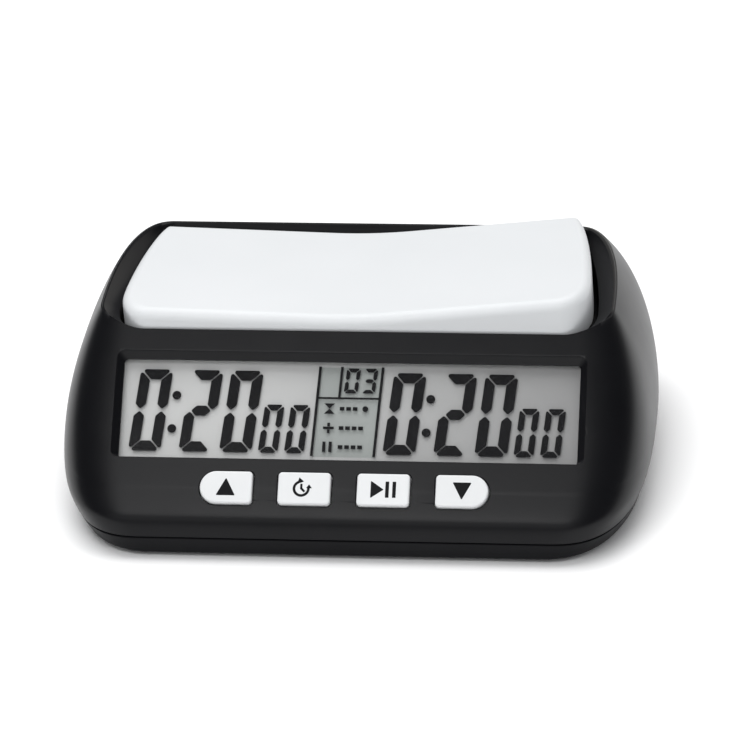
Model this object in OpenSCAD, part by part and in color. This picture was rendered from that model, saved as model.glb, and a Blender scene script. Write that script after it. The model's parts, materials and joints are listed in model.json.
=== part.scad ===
// Two-player digital chess clock with a rocking lever on top.
// X runs to the right, Y from the sloping front panel to the back, Z up.
// The origin is on the table, under the middle of the case.

/* [Case] */
// Greatest width of the case, across its bulging sides
case_w = 133; // [132:0.5:134]
// Depth of the case at the seam between the cover and the top
case_d = 95; // [94.5:0.5:95.5]
// Height of the bottom cover's band, up to the seam
base_h = 4.5; // [4:0.1:5]
// Height of the rim round the rocker, above the case's underside
rim_z = 41.75; // [41:0.25:42.5]
// Slope of the rim, rising to the back, in degrees
rim_tilt = 2; // [1.5:0.1:2.5]
// Wall thickness of the mouldings
wall = 2; // [1.8:0.1:2.2]
// How far the rubber feet stand out under the case
foot_stand = 0.8; // [0.5:0.1:1.2]

/* [Front panel] */
// Slope of the front panel above the table, in degrees
panel_angle = 43.4; // [43:0.1:44]
// Width of the display's visible area
view_w = 102; // [100:0.5:103]
// Height of the display's visible area, measured up the panel
view_h = 23.2; // [22:0.1:23.5]
// Distance up the panel from the crease to the visible area
view_s = 14.4; // [14.2:0.1:14.8]
// Width of each key
key_w = 11.65; // [11:0.05:12]
// Height of each key, measured up the panel
key_h = 7.4; // [7:0.1:7.6]
// Travel of each key
key_travel = 0.8; // [0.5:0.1:0.8]

/* [Rocker] */
// Half of the rocker's length
rocker_l = 52.8; // [52.6:0.1:53]
// Rise of each wing from the middle outwards, in degrees
wing_angle = 3.9; // [3.6:0.1:4]
// Tilt of the rocker from level to either stop, in degrees
rock = 2.2; // [2:0.05:2.3]
// Height of the pivot pin above the case's underside
pivot_z = 36; // [35.8:0.1:36.2]
// Radius of the pivot pin
pin_r = 1.5; // [1.4:0.05:1.6]

/* [Battery] */
// Diameter of the AA cell
cell_d = 14.2; // [13.5:0.1:14.5]
// Length of the AA cell without its nub
cell_l = 49.2; // [49:0.1:49.2]

/* [Hidden] */
$fn = 48;

// Case outline: half-widths and front and back edges at the named heights
bulge_hw = case_w / 2;
bulge_z = 12;
seam_hw = bulge_hw - 1.4;
base_hw = bulge_hw - 2.6;
rim_hw = bulge_hw - 8.9;
seam_y = case_d / 2;
base_y = seam_y - 1.1;
crease_z = 8.9;
crease_y = -(seam_y - 0.8);
rim_back_y = 32.8;
edge = 0.6;

// Depths behind the panel's face, towards the inside of the case
window_depth = 1.5;
window_t = 1.2;
window_lip = 1.4;
slide_gap = 0.1;
glass_top = 2.95;
glass_t = 2.6;
pcb_depth = 9;
pcb_t = 1.6;
frame_s = [12.8, 39];
frame_hw = 54;
bevel = 1.6;
key_s = 3.7;
key_proud = 1;
key_gap = 0.25;
flange = 0.8;
flange_n = -2.9;
stem_r = 1.2;
stem_n = -4.65;
key_x = [-26.13, -8.75, 8.75, 26.13];
switch_h = 3.5;
switch_hw = 3;
switch_floor = 1.3;
button_r = 1.7;
button_n = -pcb_depth + switch_floor + 0.3 + key_travel;
pcb_boss = [[-57, 20], [57, 20], [-57, 34.5], [57, 34.5]];
pcb_boss_r = 2.4;
pcb_boss_n = -5;
pcb_rib_x = 61.4;
pcb_back = -pcb_depth - pcb_t;
pcb_low_s = 3.2;
pcb_high_s = 37.5;
contact_hw = 50;

// Rocker well
well_floor = 32;
well_side = 1.1;
well_tub = 2.9;
well_slope_top = 33.9;
well_slope = 1.9;
well_floor_t = 1.8;
well_gap = 0.5;
rocker_front = -14;
rocker_back = 30.2;
rocker_mid = -3.5;
rocker_apex = 6.1;
rocker_wall = 1.8;
plunger_x = 14;
plunger_y = 9;
plunger_r = 1.5;
tip_drop = 1.5;
tip_gap = 0.12;
plunger_len = 6.8;
plunger_swing = plunger_x * sin(rock);
bumper_x = 47;
ear_y = [[-8.6, -4.9], [22.9, 26.6]];
boss_y = [[-4.4, -0.4], [18.4, 22.4]];
board_top = 24.4;
board_t = 1.2;
board_post_y = [4.5, 13.5];
board_post_r = 2.6;

// Battery bay and door
bay_hx = 29;
bay_y = [13.4, 29.4];
bay_top = 18.2;
bay_wall = 1.6;
cell_y = (bay_y[0] + bay_y[1]) / 2;
cell_z = 10.2;
cell_x = -22.6;
door_t = 1.6;
door_gap = 0.3;
door_ledge = 1.2;
door_y = [bay_y[0] - 0.8, bay_y[1] + 0.8];

// Fasteners and feet
case_boss = [[-55.5, -33], [55.5, -33], [-50, 36], [50, 36]];
boss_r = 3.2;
boss_top = [10.8, 31];
screw_r = 1.25;
screw_seat = 3.8;
screw_end = 9.6;
head_r = 2.6;
head_h = 1.6;
clearance = 0.3;
small_screw_r = 0.9;
small_head_r = 2;
small_hole_r = 1.2;
cover_post_h = 6;
foot_at = [[-42, -38], [42, -38], [-36, 39], [36, 39]];
foot_r = 4.5;
foot_t = 2;

// Power switch
power_at = [-42, 2];
power_travel = 2.5;

case_black = "#1c1d20";
white = "#eef0f2";
metal = "#b9bcc0";
board_green = "#1f5a38";
rubber_black = "#26272a";

// ---- Shared shapes ----

module seated() translate([0, 0, foot_stand]) children();

// Puts children on the front panel: X across, Y up the panel, Z out of it.
module on_panel() seated() translate([0, crease_y, crease_z]) rotate([panel_angle, 0, 0]) children();

function mixed(a, b, t) = a + (b - a) * t;
function flipped(p) = [-p[0], p[1]];

// One point of a corner whose side is hw wide and whose end is at y_end.
function corner_point(hw, rx, p, y_mid, y_end, t) =
    [hw - rx + rx * pow(cos(t), 2 / p), y_mid + (y_end - y_mid) * pow(sin(t), 2 / p)];

// A closed outline with straight front and back edges and bulging sides.
function outline(hw, y_front, y_back, y_mid, rx_front, p_front, rx_back, p_back, n) = concat(
    [for (i = [0:n]) corner_point(hw, rx_back, p_back, y_mid, y_back, 90 * i / n)],
    [for (i = [n:-1:1]) flipped(corner_point(hw, rx_back, p_back, y_mid, y_back, 90 * i / n))],
    [for (i = [0:n]) flipped(corner_point(hw, rx_front, p_front, y_mid, y_front, 90 * i / n))],
    [for (i = [n:-1:1]) corner_point(hw, rx_front, p_front, y_mid, y_front, 90 * i / n)]
);

// The span x on the right side of the case, or its mirror image on the left.
function sided(side, x) = side > 0 ? x : [-x[1], -x[0]];

function lifted(points, z, slope) = [for (p = points) [p[0], p[1], z + slope * p[1]]];

// A closed solid through a stack of rings that all have the same number of points.
module loft(rings) {
    m = len(rings[0]);
    last = len(rings) - 1;
    sides = [for (j = [0:last - 1], i = [0:m - 1], half = [0, 1])
        let (a = j * m + i, b = j * m + (i + 1) % m)
        half == 0 ? [a, a + m, b + m] : [a, b + m, b]];
    polyhedron(
        points = [for (r = rings) each r],
        faces = concat([[for (i = [0:m - 1]) i]], [[for (i = [m - 1:-1:0]) last * m + i]], sides)
    );
}

// A round wire or cord along a list of points.
module wire(points, r, sides = 8) {
    up = [0.31, 0.27, 0.91];
    n = len(points);
    rings = [for (i = [0:n - 1])
        let (ahead = points[min(i + 1, n - 1)] - points[max(i - 1, 0)],
             t = ahead / norm(ahead),
             u0 = cross(t, up),
             u = u0 / norm(u0),
             v = cross(t, u))
        [for (k = [0:sides - 1]) points[i] + r * (cos(360 * k / sides) * u + sin(360 * k / sides) * v)]];
    loft(rings);
}

function bezier(p, t) = pow(1 - t, 3) * p[0] + 3 * pow(1 - t, 2) * t * p[1]
    + 3 * (1 - t) * t * t * p[2] + pow(t, 3) * p[3];
function curve(p, steps) = [for (i = [0:steps]) bezier(p, i / steps)];

module box(x, y, z) translate([x[0], y[0], z[0]]) cube([x[1] - x[0], y[1] - y[0], z[1] - z[0]]);

module rod(at, r, z) translate([at[0], at[1], z[0]]) cylinder(r = r, h = z[1] - z[0]);

// ---- Case outline at a height ----

function case_hw(z) =
    z < base_h ? mixed(base_hw, seam_hw, z / base_h) :
    z < bulge_z ? bulge_hw - (bulge_hw - seam_hw) * pow((bulge_z - z) / (bulge_z - base_h), 2) :
    bulge_hw - (bulge_hw - rim_hw) * pow((z - bulge_z) / (rim_z - bulge_z), 2);

function case_slope(z) = tan(rim_tilt) * max(0, (z - 20) / (rim_z - 20));

function panel_y(z) =
    let (t = tan(panel_angle))
    (crease_y + (z - crease_z) / t) / (1 - case_slope(z) / t);

function case_front(z) =
    z < base_h ? -mixed(base_y, seam_y, z / base_h) :
    z < crease_z ? mixed(-seam_y, crease_y, (z - base_h) / (crease_z - base_h)) : panel_y(z);

function case_back(z) =
    z < base_h ? mixed(base_y, seam_y, z / base_h) :
    seam_y - (seam_y - rim_back_y) * pow((z - base_h) / (rim_z - base_h), 2.5);

function case_ring(z, inset, n) = lifted(
    outline(
        case_hw(z) - inset,
        case_front(z) + inset / (z > crease_z ? sin(panel_angle) : 1),
        case_back(z) - inset,
        -0.12 * z,
        21 - 0.12 * z - 0.0043 * z * z, 2.4 + 0.6 * sin(180 * z / 42),
        11 + 10 * pow(max(0, 1 - z / 42), 1.6), 2.4,
        n
    ), z, case_slope(z));

// The plan shape of the rocker, grown all round and by its own amount at the front.
function rocker_plan(grown, grown_front, n) = outline(
    rocker_l + grown, rocker_front - grown_front, rocker_back + grown, rocker_mid,
    7 + grown / 2, 2.2, 5.4 + grown / 2, 1.5, n);

// ---- Case ----

// The hollow the rocker sits in: a sloping front foot, upright walls and a wide sloping rim.
module well_cut() {
    inner = rocker_plan(well_side, well_gap, 8);
    foot = rocker_plan(well_side, well_gap - well_slope, 8);
    rim_inset = 0.75;
    rim_front = rocker_front - well_gap;
    rim = outline(rim_hw - rim_inset, rim_front, rim_back_y - rim_inset, -5, 8, 2.4, 11, 2.2, 8);
    slope = tan(rim_tilt);
    loft([lifted(foot, well_floor, 0), lifted(inner, well_slope_top, 0), lifted(inner, rim_z - 2.4, slope),
          lifted(rim, rim_z, slope), lifted(rim, rim_z + 4, slope)]);
}

// The walls and floor round that hollow; each pair is a height and the front wall's growth.
module well_walls() {
    front = well_gap + 1.05;
    steps = [[well_floor - well_floor_t, front - 2.95], [33.2, front], [36.5, front], [39.4, front - 2.05]];
    loft([for (p = steps) lifted(rocker_plan(well_tub, p[1], 8), p[0], 0)]);
}

module pivot_bosses() {
    for (y = boss_y) difference() {
        union() {
            box([-3.5, 3.5], y, [well_floor - 0.5, pivot_z]);
            translate([0, y[0], pivot_z]) rotate([-90, 0, 0]) cylinder(r = 3, h = y[1] - y[0]);
        }
        translate([0, y[0] - 1, pivot_z]) rotate([-90, 0, 0]) cylinder(r = pin_r + 0.05, h = y[1] - y[0] + 2);
    }
}

// The display's recess: bevelled at the sides and the top, square at the bottom.
module display_recess() {
    hw = view_w / 2;
    top = view_s + view_h;
    hull() {
        box([-hw, hw], [view_s, top], [-window_depth, -window_depth + 0.01]);
        box([-hw - bevel, hw + bevel], [view_s, top + bevel], [0, 1]);
    }
    box([-hw, hw], [view_s, top], [-wall - 1, 0]);
    pocket = window_lip + slide_gap;
    box([-hw - pocket, hw + pocket], [view_s - pocket, top + pocket], [-wall - 1, -window_depth]);
}

module key_outline(grown, left_round, right_round) {
    w = key_w / 2 + grown;
    h = key_h / 2 + grown;
    r = 1 + grown;
    for (side = [-1, 1]) {
        is_round = side < 0 ? left_round : right_round;
        if (is_round) intersection() {
            translate([side * (w - h), 0]) circle(h);
            translate([side * w / 2, 0]) square([w, 2 * h], center = true);
        } else for (y = [-1, 1]) translate([side * (w - r), y * (h - r)]) circle(r);
    }
    square([2 * (w - h), 2 * h], center = true);
    for (side = [-1, 1]) if (!(side < 0 ? left_round : right_round)) {
        translate([side * (w - h + (h - r) / 2), 0]) square([h - r, 2 * h], center = true);
        translate([side * (w - r / 2), 0]) square([r, 2 * (h - r)], center = true);
    }
}

module at_key(i) on_panel() translate([key_x[i], key_s + key_h / 2, 0]) children();

module key_holes() {
    for (i = [0:3]) at_key(i) translate([0, 0, -wall - 1]) linear_extrude(wall + 2)
        key_outline(key_gap, i == 0, i == 3);
}

module top_case() color(case_black) difference() {
    union() {
        seated() difference() {
            loft([for (z = [base_h, crease_z, bulge_z, 18, 24, 30, 36, rim_z - edge]) case_ring(z, 0, 8),
                  case_ring(rim_z, edge / 2, 8)]);
            loft([for (z = [base_h - 1, crease_z, 15, 24, 32, 39]) case_ring(z, wall, 6)]);
        }
        seated() difference() {
            well_walls();
            for (side = [-1, 1])
                rod([side * plunger_x, plunger_y], plunger_r + 0.06, [well_floor - 5, well_floor + 5]);
        }
        seated() for (p = case_boss) rod(p, boss_r, [cover_post_h, boss_top[p[1] < 0 ? 0 : 1]]);
        seated() for (side = [-1, 1]) box(sided(side, [56, 60]), [-34, -32], [cover_post_h, 12.5]);
        seated() for (y = board_post_y) rod([0, y], board_post_r, [board_top, well_floor - 1]);
        on_panel() for (p = pcb_boss) {
            rod(p, pcb_boss_r, [-pcb_depth, pcb_boss_n]);
            box(sided(sign(p[0]), [abs(p[0]), pcb_rib_x]), [p[1] - 0.8, p[1] + 0.8],
                [-pcb_depth + 0.5, pcb_boss_n - 0.5]);
        }
    }
    seated() well_cut();
    on_panel() display_recess();
    key_holes();
    seated() for (p = case_boss) rod(p, screw_r, [0, screw_end + clearance]);
    seated() for (y = board_post_y) rod([0, y], small_screw_r, [board_top - 1, 29]);
    on_panel() for (p = pcb_boss) rod(p, small_screw_r, [-pcb_depth - 1, pcb_boss_n - 0.5]);
}

// The pivot bosses stand on the well's floor and are moulded with the top case.
module top_case_with_bosses() color(case_black) union() {
    top_case();
    seated() pivot_bosses();
}

module bottom_cover() color(case_black) difference() {
    union() {
        seated() difference() {
            loft([case_ring(0, edge, 8), case_ring(edge, 0, 8), case_ring(base_h, 0, 8)]);
            translate([0, 0, wall]) loft([for (z = [0, base_h]) case_ring(z, wall, 8)]);
        }
        seated() box([-bay_hx - bay_wall, bay_hx + bay_wall], [bay_y[0] - bay_wall, bay_y[1] + bay_wall],
                     [1, bay_top + bay_wall]);
        seated() for (p = case_boss) rod(p, boss_r, [1, cover_post_h]);
        seated() for (side = [-1, 1]) rod(power_at + [side * 7.6, 0], 1.8, [1, 2.4]);
    }
    seated() box([-bay_hx, bay_hx], bay_y, [-1, bay_top]);
    seated() box([-bay_hx - door_ledge, bay_hx + door_ledge], door_y, [-1, door_t + 0.1]);
    seated() box([-5, 5], [bay_y[1] - 1, bay_y[1] + 1.8], [-1, 6.5]);
    seated() box([-6.5, 6.5], [door_y[1] - 0.5, door_y[1] + 3], [-1, 1]);
    seated() for (side = [-1, 1])
        box(sided(side, [27.9, 28.8]), [cell_y - 2.2, cell_y + 2.2], [bay_top - 1, 21]);
    seated() for (p = case_boss) {
        rod(p, screw_r + clearance, [-1, screw_end]);
        rod(p, head_r + clearance, [-1, screw_seat]);
    }
    seated() for (p = foot_at) rod(p, foot_r, [-1, foot_t - foot_stand]);
    seated() translate([power_at[0], power_at[1], 0]) {
        box([-3.9, 3.9], [-1.9, 1.9], [-1, 4]);
        box([-5.5, 5.5], [-3.2, 3.2], [-1, 0.8]);
    }
}

module battery_door() color(case_black) seated() {
    hx = bay_hx + door_ledge - door_gap;
    y_hinge = door_y[0] + door_gap + door_t / 2;
    difference() {
        union() {
            box([-hx, hx], [y_hinge, door_y[1] - door_gap], [0, door_t]);
            translate([-hx, y_hinge, door_t / 2]) rotate([0, 90, 0]) cylinder(r = door_t / 2, h = 2 * hx);
            box([-4, 4], [bay_y[1] - 0.4, door_y[1] - door_gap], [door_t - 0.5, 5.5]);
            translate([-4, door_y[1] - door_gap, 3.2]) rotate([0, 90, 0]) cylinder(r = 0.4, h = 8);
        }
        for (x = [-4:2:4]) box([x - 0.4, x + 0.4], [cell_y - 3, cell_y + 3], [-1, 0.4]);
    }
}

// A pan-head screw with a cross recess, driven upwards from under the case.
module case_screw() difference() {
    union() {
        rod([0, 0], head_r, [screw_seat - head_h, screw_seat]);
        rod([0, 0], screw_r, [screw_seat - 0.1, screw_end]);
    }
    for (a = [0, 90]) rotate([0, 0, a])
        box([-1.5, 1.5], [-0.3, 0.3], [0, screw_seat - head_h + 0.9]);
}

module case_screws() color(metal) seated() for (p = case_boss) translate([p[0], p[1], 0]) case_screw();

module rubber_feet() color(rubber_black)
    for (p = foot_at) difference() {
        rod(p, foot_r, [0, foot_t]);
        rod(p, 1.2, [-1, 0.5]);
    }

// ---- Display ----

module lcd_window() color("#c8d2d6", 0.35) on_panel()
    box([-view_w / 2 - window_lip, view_w / 2 + window_lip],
        [view_s - window_lip, view_s + view_h + window_lip],
        [-window_depth - window_t, -window_depth]);

module lcd_frame() color("#d9dadb") on_panel() {
    difference() {
        box([-frame_hw, frame_hw], frame_s, [-pcb_depth + 0.05, -glass_top + 0.1]);
        box([-frame_hw + 1, frame_hw - 1], frame_s + [0.6, -0.6], [-glass_top - glass_t - 0.05, 0]);
        box([-contact_hw, contact_hw], [17.5, 35.2], [-pcb_depth - 1, 0]);
        for (s = [frame_s[0] + 1.2, frame_s[1] - 3.4])
            box([-contact_hw, contact_hw], [s, s + 2.2], [-pcb_depth - 1, 0]);
    }
}

// Two sheets of glass; the lower one sticks out to carry the contacts.
module lcd_glass() color("#aeb2ad") on_panel() {
    hw = frame_hw - 1.1;
    middle = -glass_top - glass_t / 2;
    box([-hw, hw], frame_s + [0.7, -0.7], [-glass_top - glass_t, middle]);
    box([-hw, hw], frame_s + [1.3, -0.7], [middle, -glass_top]);
}

module lcd_reflector() color(white) on_panel()
    box([-contact_hw + 0.2, contact_hw - 0.2], [17.7, 35],
        [-glass_top - glass_t - 0.35, -glass_top - glass_t - 0.05]);

module zebra_strips() color("#d98c9a") on_panel()
    for (s = [frame_s[0] + 1.3, frame_s[1] - 3.3])
        box([-contact_hw + slide_gap, contact_hw - slide_gap], [s, s + 2],
            [-pcb_depth, -glass_top - glass_t - 0.02]);

// ---- Main board ----

module main_pcb() color(board_green) on_panel() difference() {
    union() {
        box([-45, 45], [pcb_low_s, pcb_high_s], [pcb_back, -pcb_depth]);
        box([-59.5, 59.5], [17.2, pcb_high_s], [pcb_back, -pcb_depth]);
    }
    for (p = pcb_boss) rod(p, small_hole_r, [pcb_back - 1, -pcb_depth + 1]);
}

module small_screw(length) {
    rod([0, 0], small_head_r, [-1.3, 0]);
    rod([0, 0], small_screw_r, [-0.1, length]);
}

module pcb_screws() color(metal) on_panel()
    for (p = pcb_boss) translate([p[0], p[1], pcb_back]) small_screw(4.8);

module controller_blob() color("#101113") on_panel() translate([-8, 24, pcb_back - 1.6]) {
    cylinder(r1 = 4, r2 = 6, h = 0.8);
    translate([0, 0, 0.8]) cylinder(r1 = 6, r2 = 6.6, h = 0.8);
}

module quartz_crystal() color(metal) on_panel()
    translate([10, 29, pcb_back - 1.5]) {
        rotate([0, 90, 0]) cylinder(r = 1.5, h = 8);
        for (y = [-0.6, 0.6]) box([-2, 0.5], [y - 0.15, y + 0.15], [-0.15, 0.15]);
        for (y = [-0.6, 0.6]) box([-2, -1.7], [y - 0.15, y + 0.15], [-0.15, 1.5]);
    }

module electrolytic_capacitor() color("#23262e") on_panel()
    rod([26, 30], 2.5, [pcb_back - 7, pcb_back]);

module chip_components() color("#8a7a5c") on_panel()
    for (i = [0:4], j = [0:1]) {
        x = 8 + i * 4;
        s = 16 + j * 4;
        box([x, x + 1.6], [s, s + 0.8], [pcb_back - 0.55, pcb_back]);
    }

module buzzer() color("#141517") on_panel() difference() {
    rod([42, 27], 6, [pcb_back - 6.5, pcb_back]);
    rod([42, 27], 1, [pcb_back - 7, pcb_back - 3]);
}

module key_switch_bodies() color("#2b2c2f")
    for (i = [0:3]) at_key(i) difference() {
        box([-switch_hw, switch_hw], [-switch_hw, switch_hw], [-pcb_depth, -pcb_depth + switch_h]);
        rod([0, 0], button_r + slide_gap, [-pcb_depth + switch_floor, 0]);
    }

module key_cap(i) color(white) at_key(i) {
    left = i == 0;
    right = i == 3;
    translate([0, 0, flange_n]) linear_extrude(key_proud - flange_n) key_outline(0, left, right);
    translate([0, 0, flange_n]) linear_extrude(flange) intersection() {
        key_outline(flange, left, right);
        translate([0, -flange / 2]) square([key_w + 4, key_h + flange], center = true);
    }
    rod([0, 0], stem_r, [stem_n, flange_n + 0.1]);
}

module switch_button(i) color("#3a3b3f") at_key(i) rod([0, 0], button_r, [button_n, stem_n]);

// ---- Rocker and what it works ----

// Puts children in the rocker's own frame, tipped to the left-hand stop.
module on_rocker() seated() translate([0, 0, pivot_z]) rotate([0, -rock, 0]) children();

// The side view of the rocker, shrunk by cut, and reaching down to low.
module rocker_profile(cut, low) {
    rise = tan(wing_angle);
    blend = 9;
    valley = [for (i = [-4:4]) let (x = blend * i / 4)
        [x, rocker_apex - cut + rise * (x * x / (2 * blend) + blend / 2)]];
    end = rocker_l + 1;
    polygon(concat([[-end, low], [-end, rocker_apex - cut + rise * end]], valley,
                   [[end, rocker_apex - cut + rise * end], [end, low]]));
}

module rocker_slice(y, cut, low) translate([0, y[1], 0]) rotate([90, 0, 0])
    linear_extrude(y[1] - y[0]) rocker_profile(cut, low);

module rocker() color(white) on_rocker() {
    difference() {
        intersection() {
            translate([0, 0, -1]) linear_extrude(20) polygon(rocker_plan(0, 0, 10));
            rocker_slice([-20, 40], 0, 0);
        }
        intersection() {
            translate([0, 0, -2]) linear_extrude(20) polygon(rocker_plan(-rocker_wall, -rocker_wall, 10));
            rocker_slice([rocker_front + rocker_wall, 40], rocker_wall, -2);
        }
    }
    for (y = ear_y) difference() {
        intersection() {
            box([-3.4, 3.4], y, [-3, 8]);
            rocker_slice(y, 0.5, -4);
        }
        translate([0, y[0] - 1, 0]) rotate([-90, 0, 0]) cylinder(r = pin_r, h = y[1] - y[0] + 2);
    }
    for (side = [-1, 1]) {
        rod([side * plunger_x, plunger_y], 2, [2 - tip_drop, rocker_apex - 0.5]);
        translate([side * plunger_x, plunger_y, 2 - tip_drop]) sphere(r = 2);
        intersection() {
            box([side * bumper_x - 0.8, side * bumper_x + 0.8], [rocker_front + 1, ear_y[1][1] - 1],
                [0, 14]);
            rocker_slice([-20, 40], 0.5, -1);
        }
    }
}

module rocker_pivot_pin() color(metal) seated() translate([0, ear_y[0][0], pivot_z])
    rotate([-90, 0, 0]) cylinder(r = pin_r, h = ear_y[1][1] - ear_y[0][0]);

module rocker_bumpers() color(rubber_black) seated()
    for (side = [-1, 1], y = [0, 18])
        rod([side * bumper_x, y], 2.5, [well_floor, pivot_z - (bumper_x + 2.5) * sin(rock) - 0.15]);

// down is 1 for the plunger that the rocker holds down and -1 for the raised one.
module plunger(side, down) color("#e8e8e4") seated() {
    top = pivot_z - tip_drop - tip_gap - down * plunger_swing;
    at = [side * plunger_x, plunger_y];
    rod(at, 3.4, [top - 1.2, top]);
    rod(at, plunger_r, [top - plunger_len, top - 1]);
}

module dome(side, down) color("#3d3f43") seated() {
    top = pivot_z - tip_drop - tip_gap - down * plunger_swing - plunger_len - 0.05;
    at = [side * plunger_x, plunger_y];
    rod(at, 4.4, [board_top, board_top + 0.7]);
    translate([at[0], at[1], board_top + 0.5]) cylinder(r1 = 3.4, r2 = 2, h = top - board_top - 0.5);
}

module switch_board() color(board_green) seated() difference() {
    box([-20, 20], [2, 16], [board_top - board_t, board_top]);
    for (y = board_post_y) rod([0, y], small_hole_r, [board_top - 3, board_top + 1]);
}

module switch_board_screws() color(metal) seated()
    for (y = board_post_y) translate([0, y, board_top - board_t]) small_screw(5);

// ---- Battery and wiring ----

module aa_battery() color("#3c6e50") seated()
    translate([cell_x, cell_y, cell_z]) rotate([0, 90, 0]) {
        cylinder(d = cell_d, h = cell_l);
        cylinder(d = 5.5, h = cell_l + 1.2);
    }

module battery_spring() color(metal) seated() {
    turns = 4;
    steps = 72;
    start = -bay_hx + 1;
    reach = cell_x - 0.5 - start;
    coil = [for (i = [0:steps])
        let (t = i / steps, a = 360 * turns * t, r = mixed(5.2, 3.4, t))
        [start + reach * t, cell_y + r * cos(a), cell_z + r * sin(a)]];
    wire(coil, 0.4, 6);
    box([-bay_hx + 0.2, -bay_hx + 0.65], [cell_y - 6, cell_y + 6], [4, 16.5]);
    box([-bay_hx + 0.2, -bay_hx + 0.65], [cell_y - 2, cell_y + 2], [16, 21.5]);
}

module battery_plate() color(metal) seated() {
    box([bay_hx - 0.65, bay_hx - 0.2], [cell_y - 6, cell_y + 6], [4, 16.5]);
    box([bay_hx - 0.65, bay_hx - 0.2], [cell_y - 2, cell_y + 2], [16, 21.5]);
}

lead_r = 0.6;
red_route = [[29.45, 21.4, 21.2], [36, 12, 24], [32, -14, 10], [30, -30.2, 9.1]];
black_route = [[-29.45, 21.4, 21.2], [-42, 18, 22], [-46, 8, 12], [-40.5, 2, 6.85]];
power_route = [[-43.5, 2, 6.85], [-46, -4, 14], [-40, -16, 12], [-36, -28.6, 10.3]];
cable_route = [[0, 3, 22.6], [0, 3, 17], [0, -12, 16], [0, -17, 21.1]];

module battery_lead_red() color("#b5271f") seated() wire(curve(red_route, 12), lead_r);
module battery_lead_black() color("#151515") seated() wire(curve(black_route, 12), lead_r);
module power_lead() color("#151515") seated() wire(curve(power_route, 12), lead_r);
module board_cable() color("#9a9da3") seated()
    for (i = [-1:1]) translate([i * 1.3 + 5, 0, 0]) wire(curve(cable_route, 10), 0.55);

module power_switch_body() color(metal) seated() translate([power_at[0], power_at[1], 0]) difference() {
    union() {
        box([-4.6, 4.6], [-2.6, 2.6], [2.1, 6.2]);
        box([-9.6, 9.6], [-2.6, 2.6], [2.4, 2.9]);
    }
    box([-4, 4], [-2.1, 2.1], [2.7, 5.6]);
    box([-3.2, 3.2], [-1.7, 1.7], [1, 3]);
}

module power_slider() color("#2c2d30") seated() translate([power_at[0] - power_travel / 2, power_at[1], 0]) {
    box([-1.6, 1.6], [-1.5, 1.5], [0.2, 3]);
    box([-2.1, 2.1], [-1.9, 1.9], [2.8, 4]);
}

top_case_with_bosses();  // top_case
bottom_cover();
battery_door();
case_screws();
rubber_feet();
lcd_window();
lcd_frame();
lcd_glass();
lcd_reflector();
zebra_strips();
main_pcb();
pcb_screws();
controller_blob();
quartz_crystal();
electrolytic_capacitor();
chip_components();
buzzer();
key_cap(0);  // key_up
key_cap(1);  // key_mode
key_cap(2);  // key_play
key_cap(3);  // key_down
key_switch_bodies();
switch_button(0);  // key_up_switch_button
switch_button(1);  // key_mode_switch_button
switch_button(2);  // key_play_switch_button
switch_button(3);  // key_down_switch_button
rocker();
rocker_pivot_pin();
rocker_bumpers();
plunger(-1, 1);  // plunger_left
plunger(1, -1);  // plunger_right
dome(-1, 1);  // dome_left
dome(1, -1);  // dome_right
switch_board();
switch_board_screws();
aa_battery();
battery_spring();
battery_plate();
battery_lead_red();
battery_lead_black();
power_lead();
board_cable();
power_switch_body();
power_slider();
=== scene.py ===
import json
import math

import bmesh
import bpy
from mathutils import Matrix, Vector


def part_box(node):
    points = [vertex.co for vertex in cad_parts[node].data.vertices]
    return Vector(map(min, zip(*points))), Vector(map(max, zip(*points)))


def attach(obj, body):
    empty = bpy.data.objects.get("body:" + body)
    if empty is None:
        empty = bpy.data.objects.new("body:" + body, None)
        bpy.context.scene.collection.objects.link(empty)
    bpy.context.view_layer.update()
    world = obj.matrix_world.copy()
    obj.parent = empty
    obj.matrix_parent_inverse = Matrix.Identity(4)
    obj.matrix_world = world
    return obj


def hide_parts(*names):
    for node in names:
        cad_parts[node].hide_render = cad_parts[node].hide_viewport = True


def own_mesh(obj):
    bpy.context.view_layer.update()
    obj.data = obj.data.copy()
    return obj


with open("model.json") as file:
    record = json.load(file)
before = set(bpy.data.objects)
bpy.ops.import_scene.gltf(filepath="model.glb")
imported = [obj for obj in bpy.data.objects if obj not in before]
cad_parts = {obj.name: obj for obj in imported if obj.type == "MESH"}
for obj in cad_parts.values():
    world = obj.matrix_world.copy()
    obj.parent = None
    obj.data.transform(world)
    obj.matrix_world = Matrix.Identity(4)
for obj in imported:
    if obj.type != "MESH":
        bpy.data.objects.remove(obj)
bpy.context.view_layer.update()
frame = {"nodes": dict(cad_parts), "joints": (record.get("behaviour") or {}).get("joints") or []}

MM = 0.001

# ---- Driving sizes, in millimetres, read from the frame ----


def mm_box(node):
    low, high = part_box(node)
    return [v / MM for v in low], [v / MM for v in high]


def joint(name):
    return next(j for j in frame["joints"] if j["name"] == name)


TOP_LOW, TOP_HIGH = mm_box("top_case")
FOOT = mm_box("bottom_cover")[0][2]
BULGE_HW = TOP_HIGH[0]
SEAM_HALF_D = TOP_HIGH[1]
BASE_H = TOP_LOW[2] - FOOT
PANEL_ANGLE = math.atan2(joint("key_up_press")["axis"][1], -joint("key_up_press")["axis"][2])
ROCK = math.radians(joint("rocker_tilt")["range_deg"][1]) / 2
PIVOT = [v / MM for v in joint("rocker_tilt")["pos_m"]]

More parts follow.
